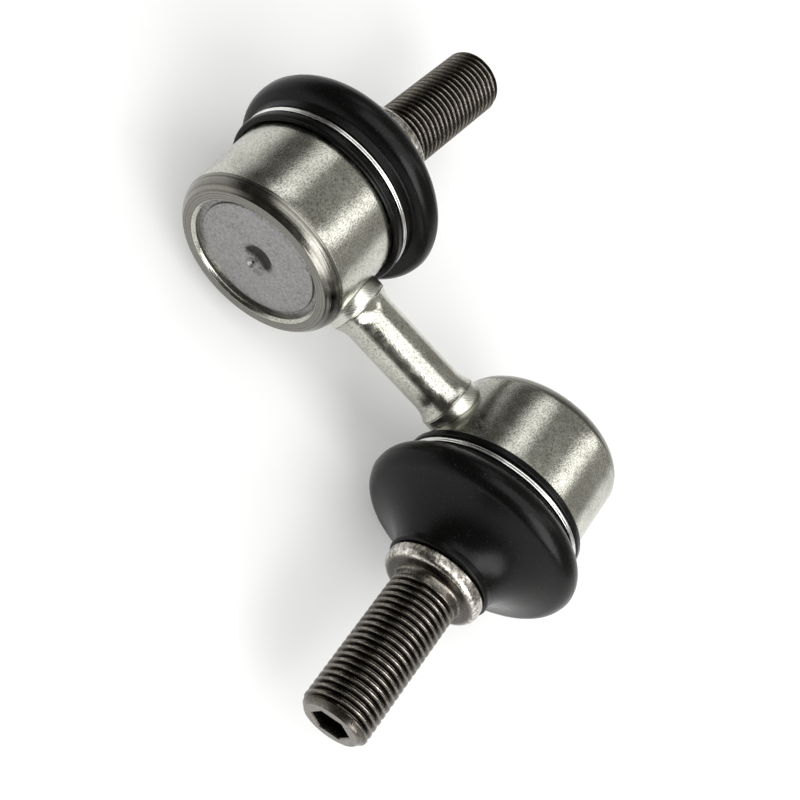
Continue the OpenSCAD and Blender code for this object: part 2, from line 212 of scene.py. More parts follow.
POCKET_R, POCKET_HALF = 8.0, 0.85
FOOT_SHARE, CREST_SHARE = 0.35, 0.7

# Floor, room, soft boxes and camera. A soft box has an azimuth and an elevation in degrees,
# a distance and a size in metres, and a power in watts.
FLOOR_R, FLOOR_SIDES, FLOOR_WALL, FLOOR_GAP = 6.0, 96, 0.7, 0.0001
FLOOR_TONE, FLOOR_ROUGHNESS, FLOOR_SHINE = 0.72, 0.9, 0.1
FLOOR_LIFT = 0.25
ROOM_BRIGHT_SIDE = Vector((0.7, 0.65, 0.3)).normalized()
ROOM_TONES = ((0.0, (0.05, 0.046, 0.04)), (0.42, (0.08, 0.075, 0.068)),
              (0.7, (0.26, 0.26, 0.245)), (1.0, (0.4, 0.39, 0.365)))
SOFT_BOXES = (("overhead", 270, 84, 0.8, (1.05, 0.72), 4.9),
              ("window", 317, 36, 1.0, (0.56, 0.88), 8.2),
              ("far_right", 46, 44, 1.0, (0.2, 0.45), 0.6),
              ("far_left", 135, 43, 1.0, (0.45, 0.3), 0.55))
CAMERA_PLACE = (-0.04074, -0.12201, 0.18582)
CAMERA_TURN = (15.863, -30.134, 39.019)
CAMERA_LENS, CAMERA_SENSOR, CAMERA_CLIP = 60.52, 36, 0.005


# Mesh helpers

def fillet(corners, steps=6):
    """The points of a profile whose corners, each a radius, a height and a rounding, become arcs."""
    points = []
    for i, (x, y, rounding) in enumerate(corners):
        here = Vector((x, y))
        if not rounding:
            points.append(here)
            continue
        back = (Vector(corners[i - 1][:2]) - here).normalized()
        ahead = (Vector(corners[(i + 1) % len(corners)][:2]) - here).normalized()
        half = back.angle(ahead) / 2
        centre = (back + ahead).normalized() * rounding / math.sin(half)
        first = back * rounding / math.tan(half) - centre
        turn = math.pi - 2 * half
        if back.x * ahead.y - back.y * ahead.x > 0:
            turn = -turn
        for k in range(steps + 1):
            c, s = math.cos(turn * k / steps), math.sin(turn * k / steps)
            spoke = Vector((first.x * c - first.y * s, first.x * s + first.y * c))
            points.append(here + centre + spoke)
    return points


def arc(centre, radius, start, end, steps):
    """Points of an arc about a centre, angles in degrees."""
    angles = [math.radians(start + (end - start) * k / steps) for k in range(steps + 1)]
    return [Vector((centre[0] + radius * math.cos(a), centre[1] + radius * math.sin(a))) for a in angles]


def curve(p0, p1, p2, t):
    """A point on a curve that leaves p0 towards p1 and reaches p2 from it."""
    return (1 - t) ** 2 * p0 + 2 * t * (1 - t) * p1 + t ** 2 * p2


def full_turn(count):
    """Angles evenly spread over a turn."""
    return [2 * math.pi * k / count for k in range(count)]


def ring(radius, height, sides):
    """One ring of a turned piece, or its pole where the radius is nothing."""
    if radius < POLE:
        return [(0, 0, height * MM)]
    return [(radius * MM * math.cos(t), radius * MM * math.sin(t), height * MM) for t in full_turn(sides)]


def turned(profile, sides):
    """The rings of a piece turned from a profile."""
    return [ring(p[0], p[1], sides) for p in profile]


def skin(rings, closed=False):
    """Points and faces through rings of points; the rings have one size, or are poles of one point."""
    points, faces, starts = [], [], []
    for loop in rings:
        starts.append(len(points))
        points.extend(loop)
    pairs = list(zip(range(len(rings) - 1), range(1, len(rings))))
    if closed:
        pairs.append((len(rings) - 1, 0))
    for i, j in pairs:
        a, b, na, nb = starts[i], starts[j], len(rings[i]), len(rings[j])
        for k in range(max(na, nb)):
            face = [a + k % na, a + (k + 1) % na, b + (k + 1) % nb, b + k % nb]
            faces.append(list(dict.fromkeys(face)))
    return points, faces


def piece(name, points, faces, place, look, sharp=CRISP, merge=False):
    """A smooth mesh object with crisp edges above an angle, standing at a place."""
    mesh = bpy.data.meshes.new(name)
    mesh.from_pydata([tuple(p) for p in points], [], faces)
    shape = bmesh.new()
    shape.from_mesh(mesh)
    if merge:
        bmesh.ops.remove_doubles(shape, verts=shape.verts, dist=MERGE_DISTANCE)
    bmesh.ops.recalc_face_normals(shape, faces=shape.faces)
    shape.to_mesh(mesh)
    shape.free()
    mesh.polygons.foreach_set("use_smooth", [True] * len(mesh.polygons))
    mesh.set_sharp_from_angle(angle=math.radians(sharp))
    obj = bpy.data.objects.new(name, mesh)
    bpy.context.scene.collection.objects.link(obj)
    obj.matrix_world = place
    mesh.materials.append(look.material)
    return obj


def stands_for(obj, body, node):
    """The piece rides on a body and replaces a CAD node."""
    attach(obj, body)
    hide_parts(node)


def axes(origin, inward, along):
    """A place whose Z runs along an axis and whose X turns towards the other end."""
    z = along.normalized()
    y = z.cross(inward).normalized()
    x = y.cross(z)
    return Matrix.LocRotScale(origin, Matrix((x, y, z)).transposed(), None)


class End:
    """One end of the link: where its housing and its stud stand."""

    def __init__(self, name, side):
        spin = joints[name + "_stud_spin"]
        inward = Vector((side, 0, 0))
        self.name = name
        self.ball = Vector(spin["pos_m"])
        self.axis = Vector((0, side, 0))
        self.stud_axis = Vector(spin["axis"]).normalized()
        self.place = axes(Vector((self.ball.x, 0, 0)), inward, self.axis)
        self.stud_place = axes(self.ball, inward, self.stud_axis)
        self.lean = self.axis.rotation_difference(self.stud_axis)

    def leaned(self, share):
        """The turn that a share of the stud's rest tilt makes."""
        return Quaternion().slerp(self.lean, share)


# Materials

# The part of noise's range that its values fill
NOISE_LOW, NOISE_HIGH = 0.3, 0.7
# The colour sockets of a mix node
MIX_A, MIX_B, MIX_RESULT = 6, 7, 2

ZINC_SPECK, ZINC = (0.17, 0.165, 0.138), (0.67, 0.67, 0.60)
# The rim's turning-line tones, painted dark as shade that stands in for the rim's dark reflections
RIM_LIGHT, RIM_GREY, RIM_DARK = (0.25, 0.24, 0.21), (0.14, 0.134, 0.118), (0.05, 0.047, 0.04)
WELD_LINE, WELD_BRIGHT = (0.36, 0.35, 0.31), (0.66, 0.66, 0.60)
# The first cap colour is painted shade, for the dimple's upper side and the punch mark's pit; the second is
# the metal's own dark pits.
CAP_PAINTED_SHADE, CAP_PIT = (0.03, 0.028, 0.026), (0.13, 0.126, 0.122)
CAP_GREY, CAP_LIGHT = (0.25, 0.246, 0.244), (0.345, 0.34, 0.34)
PHOSPHATE, RUBBED, WORN = (0.05, 0.044, 0.037), (0.22, 0.203, 0.178), (0.86, 0.83, 0.77)
BLACK, BLACK_GREY, DUST = (0.0028, 0.0026, 0.0025), (0.008, 0.008, 0.008), (0.2, 0.2, 0.19)
WIRE_GREY, WIRE_BRIGHT = (0.70, 0.70, 0.68), (0.84, 0.84, 0.82)
ACETAL_SHADE, ACETAL = (0.80, 0.79, 0.74), (0.86, 0.85, 0.81)

# How the plate gives way to unplated turned metal on the rim, painted darker as shade that stands in for its
# dark reflections, as heights, radii and shares
RIM_SHADE_ABOVE, RIM_SHADE_BLEND = 0.02, 0.1
RIM_METAL_AND_SHADE = 0.88
# Painted shade on the upper side of the cap's dimple and in its punch mark's pit, and the dull edge of the
# disc
DIMPLE_SHADE_START, DIMPLE_SHADE_FULL = 2.5, 0.5
DIMPLE_SHADE_R, DIMPLE_SHADE_END_R, DIMPLE_SHADE_SHARE = 2.3, 3.1, 0.85
PIT_SHADE_R, PIT_SHADE_END_R, PIT_SHADE_SHARE = 0.35, 0.6, 0.9
DULL_W, DULL_END, DULL = 1.4, 0.1, -0.06
CLOUD = 0.05
# Wear on the stud: radii and the share that is worn bright there
WEAR_IN, WEAR_OUT = 5.0, 9.0
STUD_WEAR = ((5.74, 0.0), (5.95, 0.6), (6.02, 0.6), (6.2, 0.0), (7.6, 0.1), (8.4, 1.0))
TIP_WEAR = 0.5
RUBBER_SHINE = 0.15


def set_stops(ramp, stops):
    """Gives a colour ramp its stops, each a position and a colour."""
    while len(ramp.elements) < len(stops):
        ramp.elements.new(0.5)
    for element, (position, colour) in zip(ramp.elements, stops):
        element.position = position
        element.color = (*colour, 1)


class Look:
    """A procedural material. Textures use the piece's own coordinates, in metres."""

    def __init__(self, name, metallic):
        self.material = bpy.data.materials.new(name)
        self.material.use_nodes = True
        self.tree = self.material.node_tree
        self.shader = self.tree.nodes["Principled BSDF"]
        self.shader.inputs["Metallic"].default_value = metallic
        self.place = self.add("ShaderNodeTexCoord").outputs["Object"]

    def add(self, kind, inputs=None, **settings):
        """A new node with settings, and with links or values on its inputs."""
        node = self.tree.nodes.new(kind)
        for key, value in settings.items():
            setattr(node, key, value)
        for key, value in (inputs or {}).items():
            if isinstance(value, bpy.types.NodeSocket):
                self.tree.links.new(value, node.inputs[key])
            else:
                node.inputs[key].default_value = value
        return node

    def feed(self, name, socket):
        """Links a socket to an input of the shader."""
        self.tree.links.new(socket, self.shader.inputs[name])

    def fed(self, name):
        """The socket that feeds an input of the shader."""
        return self.shader.inputs[name].links[0].from_socket

    def set(self, name, value):
        """A value on an input of the shader."""
        self.shader.inputs[name].default_value = value

    def math(self, operation, a, b):
        return self.add("ShaderNodeMath", {0: a, 1: b}, operation=operation).outputs[0]

    def noise(self, size, detail=3.0, roughness=0.5):
        """Noise with features of a size in millimetres."""
        inputs = {"Vector": self.place, "Scale": 1 / (size * MM), "Detail": detail, "Roughness": roughness}
        return self.add("ShaderNodeTexNoise", inputs).outputs["Fac"]

    def along(self, axis):
        """The place along one of the piece's axes."""
        return self.add("ShaderNodeSeparateXYZ", {0: self.place}).outputs[axis]

    def height(self):
        return self.along(2)

    def radius(self):
        """Distance from the piece's Z axis."""
        xyz = self.add("ShaderNodeSeparateXYZ", {0: self.place}).outputs
        flat = self.add("ShaderNodeCombineXYZ", {0: xyz[0], 1: xyz[1]}).outputs[0]
        return self.add("ShaderNodeVectorMath", {0: flat}, operation="LENGTH").outputs["Value"]

    def distance(self, point):
        """Distance from a point of the piece."""
        inputs = {0: self.place, 1: point}
        return self.add("ShaderNodeVectorMath", inputs, operation="DISTANCE").outputs["Value"]

    def turning(self, size):
        """Fine circles about the piece's Z axis, as a lathe tool leaves them."""
        across = self.math("SUBTRACT", self.radius(), self.height())
        inputs = {"W": across, "Scale": 1 / (size * MM), "Detail": 4.0}
        return self.add("ShaderNodeTexNoise", inputs, noise_dimensions="1D").outputs["Fac"]

    def between(self, value, low, high, to_low=0.0, to_high=1.0):
        """A value between two limits, carried over to two others and held there."""
        inputs = {"Value": value, "From Min": low, "From Max": high, "To Min": to_low, "To Max": to_high}
        return self.add("ShaderNodeMapRange", inputs).outputs[0]

    def spread(self, noise, to_low, to_high):
        """Noise spread over a range of values."""
        return self.between(noise, NOISE_LOW, NOISE_HIGH, to_low, to_high)

    def ramp(self, factor, *stops):
        """A colour ramp through stops, each a position and a colour."""
        node = self.add("ShaderNodeValToRGB", {"Fac": factor})
        set_stops(node.color_ramp, stops)
        return node.outputs["Color"]

    def bump(self, height, depth, strength, normal=None):
        """Bump of a depth in millimetres."""
        inputs = {"Height": height, "Distance": depth * MM, "Strength": strength}
        if normal:
            inputs["Normal"] = normal
        return self.add("ShaderNodeBump", inputs).outputs[0]


def plated_steel(name):
    """Bright zinc plate: a fine grain that breaks the reflections up, dark specks and faint stains."""
    look = Look(name, metallic=1.0)
    stain = look.noise(size=7, detail=4.0, roughness=0.6)
    specks = look.noise(size=0.3, roughness=0.65)
    speckled = look.between(specks, 0.32, 0.55, 0.5, 1.0)
    tone = look.math("MULTIPLY", look.spread(stain, 0.75, 1.0), speckled)
    look.feed("Base Color", look.ramp(tone, (0.35, ZINC_SPECK), (1.0, ZINC)))
    mottle = look.noise(size=1.6, roughness=0.6)
    look.feed("Roughness", look.spread(mottle, 0.13, 0.27))
    normal = look.bump(mottle, depth=0.03, strength=0.4)
    look.feed("Normal", look.bump(specks, depth=0.03, strength=0.65, normal=normal))
    return look


def turned_steel():
    """Plated steel with a rolled rim of turned metal, painted darker as shade that stands in for its dark
    reflections; its lines are faint on the plate.
    """
    look = plated_steel("turned_steel")
    plate, grain = look.fed("Base Color"), look.fed("Normal")
    below = look.between(look.height(), (RIM_TOP + RIM_SHADE_ABOVE) * MM, (RIM_TOP - RIM_EDGE) * MM)
    rim_start = CRIMP_R + CRIMP_BEVEL
    outside = look.between(look.radius(), rim_start * MM, (rim_start + RIM_SHADE_BLEND) * MM)
    on_rim = look.math("MULTIPLY", below, outside)
    turning = look.turning(size=0.2)
    # The rim's turned metal is painted dark here, as shade that stands in for its dark reflections.
    bare_metal_and_shade = look.ramp(turning, (0.32, RIM_LIGHT), (0.5, RIM_GREY), (0.66, RIM_DARK))
    mixed = {"Factor": look.math("MULTIPLY", on_rim, RIM_METAL_AND_SHADE), MIX_A: plate, MIX_B: bare_metal_and_shade}
    look.feed("Base Color", look.add("ShaderNodeMix", mixed, data_type="RGBA").outputs[MIX_RESULT])
    grain_strength = look.between(on_rim, 0.0, 1.0, 0.65, 0.4)
    look.tree.links.new(grain_strength, grain.node.inputs["Strength"])
    line_strength = look.between(on_rim, 0.0, 1.0, 0.05, 0.8)
    look.feed("Normal", look.bump(turning, depth=0.07, strength=line_strength, normal=grain))
    return look


def weld_steel():
    """Ground weld: bright, with brushed lines round the rod."""
    look = Look("weld_steel", metallic=1.0)
    streak = look.turning(size=0.12)
    look.feed("Base Color", look.ramp(streak, (0.25, WELD_LINE), (0.6, WELD_BRIGHT)))
    look.feed("Roughness", look.spread(streak, 0.18, 0.36))
    normal = look.bump(look.noise(size=0.3, detail=2.0), depth=0.02, strength=0.4)
    look.feed("Normal", look.bump(streak, depth=0.03, strength=0.6, normal=normal))
    return look


def painted_cap_shade(look):
    """How much painted shade lies on the upper side of the dimple, where its wall faces away from the light,
    and in its punch mark's pit.
    """
    upper_side = look.between(look.along(1), DIMPLE_SHADE_START * MM, DIMPLE_SHADE_FULL * MM)
    in_dimple = look.between(look.radius(), DIMPLE_SHADE_R * MM, DIMPLE_SHADE_END_R * MM, DIMPLE_SHADE_SHARE, 0.0)
    punch = Vector((PUNCH_X, PUNCH_Y, DIMPLE_DEPTH - DISC_OUTSIDE)) * MM
    in_pit = look.between(look.distance(punch), PIT_SHADE_R * MM, PIT_SHADE_END_R * MM, PIT_SHADE_SHARE, 0.0)
    return look.math("MAXIMUM", look.math("MULTIPLY", upper_side, in_dimple), in_pit)


def cap_steel():
    """Matte pressed steel with a sandy grain, a few dark pits, and painted shade in the dimple and its punch
    mark's pit.
    """
    look = Look("cap_steel", metallic=1.0)
    pits = look.noise(size=0.4, detail=2.0, roughness=0.6)
    unshaded = look.between(painted_cap_shade(look), 0.0, 1.0, 1.0, 0.0)
    edge = look.between(look.radius(), (DISC_R - DULL_W) * MM, (DISC_R - DULL_END) * MM, 0.0, DULL)
    cloud = look.spread(look.noise(size=4), -CLOUD, CLOUD)
    tone = look.math("ADD", pits, look.math("ADD", edge, cloud))
    # Painted shade darkens the tone on the dimple's upper side and in the punch mark's pit.
    tone = look.math("MULTIPLY", tone, unshaded)
    stops = (0.10, CAP_PAINTED_SHADE), (0.26, CAP_PIT), (0.34, CAP_GREY), (0.7, CAP_LIGHT)
    look.feed("Base Color", look.ramp(tone, *stops))
    look.feed("Roughness", look.spread(pits, 0.56, 0.40))
    normal = look.bump(pits, depth=0.04, strength=0.4)
    grain = look.noise(size=0.18, detail=2.0)
    look.feed("Normal", look.bump(grain, depth=0.02, strength=0.4, normal=normal))
    return look


def dark_steel():
    """Phosphated steel: nearly black, worn bright on the thread's crests, the tip and the collar's edge."""
    look = Look("dark_steel", metallic=1.0)
    across = look.between(look.radius(), WEAR_IN * MM, WEAR_OUT * MM)
    stops = [((radius - WEAR_IN) / (WEAR_OUT - WEAR_IN), (share,) * 3) for radius, share in STUD_WEAR]
    tip_start = STUD_LENGTH - TIP_CHAMFER
    tip = look.between(look.height(), tip_start * MM, STUD_LENGTH * MM, 0.0, TIP_WEAR)
    worn = look.math("MAXIMUM", look.ramp(across, *stops), tip)
    patches = look.noise(size=0.6, detail=4.0, roughness=0.65)
    wear = look.math("MULTIPLY", worn, look.between(patches, 0.3, 0.65, 0.35, 1.0))
    spots = look.between(patches, 0.55, 0.8, 0.0, 0.4)
    tone = look.math("MAXIMUM", wear, spots)
    look.feed("Base Color", look.ramp(tone, (0.0, PHOSPHATE), (0.5, RUBBED), (1.0, WORN)))
    grain = look.noise(size=0.22, roughness=0.6)
    look.feed("Roughness", look.spread(grain, 0.18, 0.34))
    normal = look.bump(patches, depth=0.04, strength=0.35)
    look.feed("Normal", look.bump(grain, depth=0.025, strength=0.6, normal=normal))
    return look


def rubber():
    """Satin black moulded rubber with a fine grain that breaks its highlights up, and a little dust."""
    look = Look("rubber", metallic=0.0)
    look.set("Specular IOR Level", RUBBER_SHINE)
    dust = look.noise(size=0.16, detail=2.0, roughness=0.7)
    look.feed("Base Color", look.ramp(dust, (0.55, BLACK), (0.71, BLACK_GREY), (0.75, DUST)))
    look.feed("Roughness", look.spread(look.noise(size=4), 0.22, 0.30))
    look.feed("Normal", look.bump(look.noise(size=0.4, roughness=0.6), depth=0.04, strength=0.6))
    return look


def spring_wire():
    """Bright drawn wire."""
    look = Look("spring_wire", metallic=1.0)
    draw = look.noise(size=0.9, detail=2.0)
    look.feed("Base Color", look.ramp(draw, (NOISE_LOW, WIRE_GREY), (NOISE_HIGH, WIRE_BRIGHT)))
    look.feed("Roughness", look.spread(draw, 0.13, 0.22))
    look.feed("Normal", look.bump(look.noise(size=0.3, detail=2.0), depth=0.004, strength=0.3))
    return look


def seat_plastic():
    """Natural acetal with faint flow marks."""
    look = Look("seat_plastic", metallic=0.0)
    flow = look.noise(size=2)
    look.feed("Base Color", look.ramp(flow, (NOISE_LOW, ACETAL_SHADE), (NOISE_HIGH, ACETAL)))
    look.feed("Roughness", look.spread(flow, 0.38, 0.5))
    look.feed("Normal", look.bump(look.noise(size=0.3), depth=0.01, strength=0.3))
    return look


HOUSING_LOOK = turned_steel()
ROD_LOOK = plated_steel("rod_steel")
WELD_LOOK = weld_steel()
CAP_LOOK = cap_steel()
STUD_LOOK = dark_steel()
RUBBER_LOOK = rubber()
WIRE_LOOK = spring_wire()
SEAT_LOOK = seat_plastic()


# Rod and welds

def make_rod():
    """A round bar that flares at both ends."""
    flare_out = FLARE_R - ROD_R
    bend = (FLARE_LENGTH ** 2 + flare_out ** 2) / (2 * flare_out)
    turn = math.degrees(math.asin(FLARE_LENGTH / bend))
    flare_start = ROD_HALF - FLARE_LENGTH
    flare = arc((ROD_R + bend, flare_start), bend, 180, 180 - turn, FLARE_STEPS)
    half = [Vector((ROD_R, flare_start * k / ROD_STEPS)) for k in range(ROD_STEPS)] + flare[:-1]
    half += fillet([(half[-1].x, half[-1].y, 0), (FLARE_R, ROD_HALF, ROD_EDGE), (0, ROD_HALF, 0)], 3)[1:]
    mirrored = [Vector((p.x, -p.y)) for p in reversed(half)]
    along_x = Matrix.Rotation(math.pi / 2, 4, "Y")
    rod = piece("steel_rod", *skin(turned(mirrored[:-1] + half, ROD_SIDES)), along_x, ROD_LOOK)
    stands_for(rod, "link", "rod")


def make_weld(end):
    """A ground weld bead, saddled on the housing and butted on the rod's flare."""
    far = abs(end.ball.x) / MM - ROD_HALF - FIT_GAP

    def row(radius, share):
        points = []
        for a in full_turn(WELD_SIDES):
            y, z = radius * math.cos(a), radius * math.sin(a)
            near = math.sqrt((HOUSING_R + FIT_GAP) ** 2 - y ** 2)
            points.append(((near + (far - near) * share) * MM, y * MM, z * MM))
        return points

    core, edge = WELD_R * WELD_CORE, WELD_R - WELD_EDGE
    rings = [row(core, 0.0), row(edge, 0.0)] + [row(WELD_R, share) for share in WELD_ROWS]
    rings += [row(edge, 1.0), row(core, 1.0)]
    weld = piece(end.name + "_weld_bead", *skin(rings, True), end.place, WELD_LOOK)
    stands_for(weld, "link", end.name + "_weld")


# Housing and end cap

def housing_mouth():
    """The open end of the housing's profile: the bead and the groove that hold the boot."""
    return fillet([
        (MOUTH_R, HOUSING_FRONT, ROUND_EDGE), (MOUTH_BEAD_R, HOUSING_FRONT, ROUND_EDGE),
        (MOUTH_BEAD_R, MOUTH_BEAD_START, FINE_EDGE), (GROOVE_R, MOUTH_BEAD_START, FINE_EDGE),
        (GROOVE_R, GROOVE_START, FINE_EDGE), (HOUSING_R, GROOVE_START, SOFT_EDGE), (HOUSING_R, 0, 0)], 4)[:-1]


def housing_side():
    """The housing's side, down to the small step over the rim."""
    drop = (RIM_TOP - GROOVE_START) / SIDE_STEPS
    side = [Vector((HOUSING_R, GROOVE_START + drop * k)) for k in range(1, SIDE_STEPS)]
    step = (HOUSING_R - RIM_STEP, RIM_TOP - RIM_DROP, 0)
    return side + fillet([(HOUSING_R, 0, 0), (HOUSING_R, RIM_TOP, RIM_EDGE), step], 3)[1:]


def housing_rim(start):
    """The rolled rim, from the step to its inner end."""
    belly = Vector((HOUSING_R - RIM_W / 4, RIM_BELLY * RIM_H - HOUSING_BACK))
    stop = Vector((HOUSING_R - RIM_W, RIM_EDGE - HOUSING_BACK))
    return [curve(start, belly, stop, k / RIM_STEPS) for k in range(1, RIM_STEPS + 1)]


def housing_inside(start):
    """The closed end from the rim inwards, the cap's seat, the bore and the shoulder."""
    return fillet([
        (start.x, start.y, 0), (HOUSING_R - RIM_W - RIM_LIP, -HOUSING_BACK, FINE_EDGE),
        (CRIMP_R + CRIMP_BEVEL, -HOUSING_BACK, SMALL_EDGE), (CRIMP_R, CRIMP_BEVEL - HOUSING_BACK, SMALL_EDGE),
        (CRIMP_R, -CAP_OUTSIDE, 0), (CAP_R + FIT_GAP, -CAP_OUTSIDE, 0), (CAP_R + FIT_GAP, -CAP_INSIDE, 0),
        (BORE_R, -CAP_INSIDE, 0), (BORE_R, SHOULDER_HEIGHT, 0),
        (MOUTH_R - MOUTH_LIP, SHOULDER_HEIGHT, 0)], 4)[1:]


def make_housing(end):
    """A turned cup, rolled over its cap."""
    side = housing_side()
    rim = housing_rim(side[-1])
    rings = turned(housing_mouth() + side + rim + housing_inside(rim[-1]), HOUSING_SIDES)
    housing = piece(end.name + "_turned_housing", *skin(rings, True), end.place, HOUSING_LOOK, HOUSING_CRISP)
    stands_for(housing, "link", end.name + "_housing")


def punch_mark(x, y):
    """Height of a small ringed punch mark in the dimple."""
    away = math.hypot(x - PUNCH_X, y - PUNCH_Y)
    ridge = PUNCH_RIDGE * math.exp(-((away - PUNCH_R) / PUNCH_RIDGE_W) ** 2)
    return ridge - PUNCH_PIT * math.exp(-(away / PUNCH_PIT_R) ** 2)


def make_cap(end):
    """A pressed disc: flange under the rolled rim, raised face, and a dimple with a punch mark."""
    bend = (DIMPLE_R ** 2 + DIMPLE_DEPTH ** 2) / (2 * DIMPLE_DEPTH)
    half = math.degrees(math.asin(DIMPLE_R / bend))
    dimple = arc((0, DIMPLE_DEPTH - DISC_OUTSIDE - bend), bend, 90, 90 - half, DIMPLE_STEPS)
    dimple[0].x = 0
    brink_end, flat_end = DIMPLE_R + BRINK_W, DISC_R - DISC_EDGE_W
    groove = [Vector((DIMPLE_R + BRINK_W * share, BRINK_DEPTH - DISC_OUTSIDE)) for share in (0.3, 0.7)]
    flat_radii = [brink_end + (flat_end - brink_end) * k / FLAT_STEPS for k in range(FLAT_STEPS)]
    flat = [Vector((radius, -DISC_OUTSIDE)) for radius in flat_radii]
    face = fillet([
        (brink_end, -DISC_OUTSIDE, 0), (DISC_R, -DISC_OUTSIDE, ROUND_EDGE),
        (DISC_R, FIT_GAP - CAP_OUTSIDE, 0), (CAP_R, FIT_GAP - CAP_OUTSIDE, 0),
        (CAP_R, -FIT_GAP - CAP_INSIDE, 0), (0, -FIT_GAP - CAP_INSIDE, 0)], 5)
    rings = turned(dimple + groove + flat + face[1:], CAP_SIDES)
    for loop in rings[1:len(dimple)]:
        for k, (x, y, z) in enumerate(loop):
            loop[k] = (x, y, z - punch_mark(x / MM, y / MM) * MM)
    cap = piece(end.name + "_pressed_cap", *skin(rings), end.place, CAP_LOOK)
    stands_for(cap, "link", end.name + "_end_cap")


# Ball stud

def stud_shank(thread_start):
    """The rings of the ball, the neck, the collar and the plain band before the thread."""
    collar_start = BOOT_TOP + BOOT_GAP - BALL_HEIGHT
    collar_end = collar_start + COLLAR_T
    flat_angle = -math.degrees(math.asin((BALL_R - BALL_FLAT) / BALL_R))
    neck_angle = math.degrees(math.acos(NECK_R / BALL_R))
    ball = [Vector((0, BALL_FLAT - BALL_R))] + arc((0, 0), BALL_R, flat_angle, neck_angle, BALL_STEPS)
    shank = fillet([
        (ball[-1].x, ball[-1].y, 0), (NECK_R, TAPER_START, TAPER_ROUND),
        (BOOT_SEAT_R, BEAD_START - BALL_HEIGHT - BOOT_GAP, TAPER_ROUND),
        (BOOT_SEAT_R, collar_start, FINE_EDGE),
        (COLLAR_R, collar_start, COLLAR_BACK_EDGE), (COLLAR_R, collar_end, COLLAR_EDGE),
        (PLAIN_R, collar_end, COLLAR_ROOT), (PLAIN_R, thread_start, 0)])
    return turned(ball + shank[1:], THREAD_SIDES)


def thread_rows(start, end):
    """Rows of a rolled thread that climb one pitch a turn, held between two heights."""
    def place(radius, height, turn):
        height = min(max(height, start), end)
        chamfered = THREAD_R - max(0.0, height - (STUD_LENGTH - TIP_CHAMFER))
        fade = min(1.0, (height - start) / RUN_OUT)
        radius = min(PLAIN_R + (radius - PLAIN_R) * fade, chamfered)
        return (radius * MM * math.cos(turn), radius * MM * math.sin(turn), height * MM)

    angles = full_turn(THREAD_SIDES) + [2 * math.pi]
    rows = []
    for i in range(-1, math.ceil((end - start) / THREAD_PITCH) + 1):
        for step, radius in THREAD_FORM:
            climb = [start + (i + step + a / (2 * math.pi)) * THREAD_PITCH for a in angles]
            rows.append([place(radius, height, a) for height, a in zip(climb, angles)])
    return rows


def sheet(rows):
    """Points and faces through open rows of points."""
    width = len(rows[0])
    points = [p for row in rows for p in row]
    faces = []
    for i in range(len(rows) - 1):
        for k in range(width - 1):
            a = i * width + k
            faces.append([a, a + 1, a + width + 1, a + width])
    return points, faces


def hexagon(flat, height):
    """A ring of points on a hexagon, given half its width across flats."""
    loop = []
    for a in full_turn(THREAD_SIDES):
        within = (a + math.pi / 6) % (math.pi / 3) - math.pi / 6
        r = flat / math.cos(within)
        loop.append((r * MM * math.cos(a), r * MM * math.sin(a), height * MM))
    return loop


def stud_tip():
    """The rings of the stud's end face and of the hex socket in it."""
    half = SOCKET_AF / 2
    land = THREAD_R - TIP_CHAMFER
    socket_rim = half / math.cos(math.pi / 6) + SOCKET_RIM
    face = [ring(r, STUD_LENGTH, THREAD_SIDES) for r in (land, land - TIP_LAND, socket_rim)]
    bottom = STUD_LENGTH - SOCKET_DEPTH
    socket = [hexagon(half + SOCKET_BEVEL, STUD_LENGTH), hexagon(half, STUD_LENGTH - SOCKET_BEVEL_H),
              hexagon(half, bottom)]
    drilled = [ring(half, bottom, THREAD_SIDES), ring(0, bottom - half * DRILL_POINT, THREAD_SIDES)]
    return face + socket + drilled


def make_stud(end):
    """A ball stud in one mesh: ball to collar, the thread's helix, and the tip with its socket."""
    thread_start = BOOT_TOP + BOOT_GAP - BALL_HEIGHT + COLLAR_T + PLAIN_BAND
    parts = skin(stud_shank(thread_start)), sheet(thread_rows(thread_start, STUD_LENGTH)), skin(stud_tip())
    points, faces = [], []
    for part_points, part_faces in parts:
        faces.extend([[len(points) + v for v in face] for face in part_faces])
        points.extend(part_points)
    stud = piece(end.name + "_threaded_stud", points, faces, end.stud_place, STUD_LOOK, STUD_CRISP,
                 merge=True)
    stands_for(stud, end.name + "_stud", end.name + "_ball_stud")


# Boot. A point of its section is a radius, a height and the share of the stud's tilt that it follows.

def eased(t):
    """A share from 0 to 1 that starts and stops gently."""
    return t * t * (3 - 2 * t)


def with_share(points, share):
    return [(p[0], p[1], share) for p in points]


def bulge(inset):
    """The boot's bulge, with a mould line on its outside."""
    points = []
    line = (MOULD_LINE - BULGE_FOOT) / (BULGE_END - BULGE_FOOT)
    ridge = [] if inset else [line - MOULD_LINE_W, line, line + MOULD_LINE_W]
    stations = [k / BOOT_STEPS for k in range(BOOT_STEPS)] + [1 - SEAM_STEP / BOOT_STEPS, 1.0]
    for t in sorted(stations + ridge):
        angle = math.radians(BULGE_FOOT + (BULGE_END - BULGE_FOOT) * t)
        proud = MOULD_LINE_H if t == line and not inset else 0.0
        spoke = Vector((math.cos(angle), math.sin(angle))) * (BULGE_R - inset + proud)
        points.append((*(BULGE_CENTRE + spoke), eased(FOOT_SHARE + (CREST_SHARE - FOOT_SHARE) * t)))
    return points


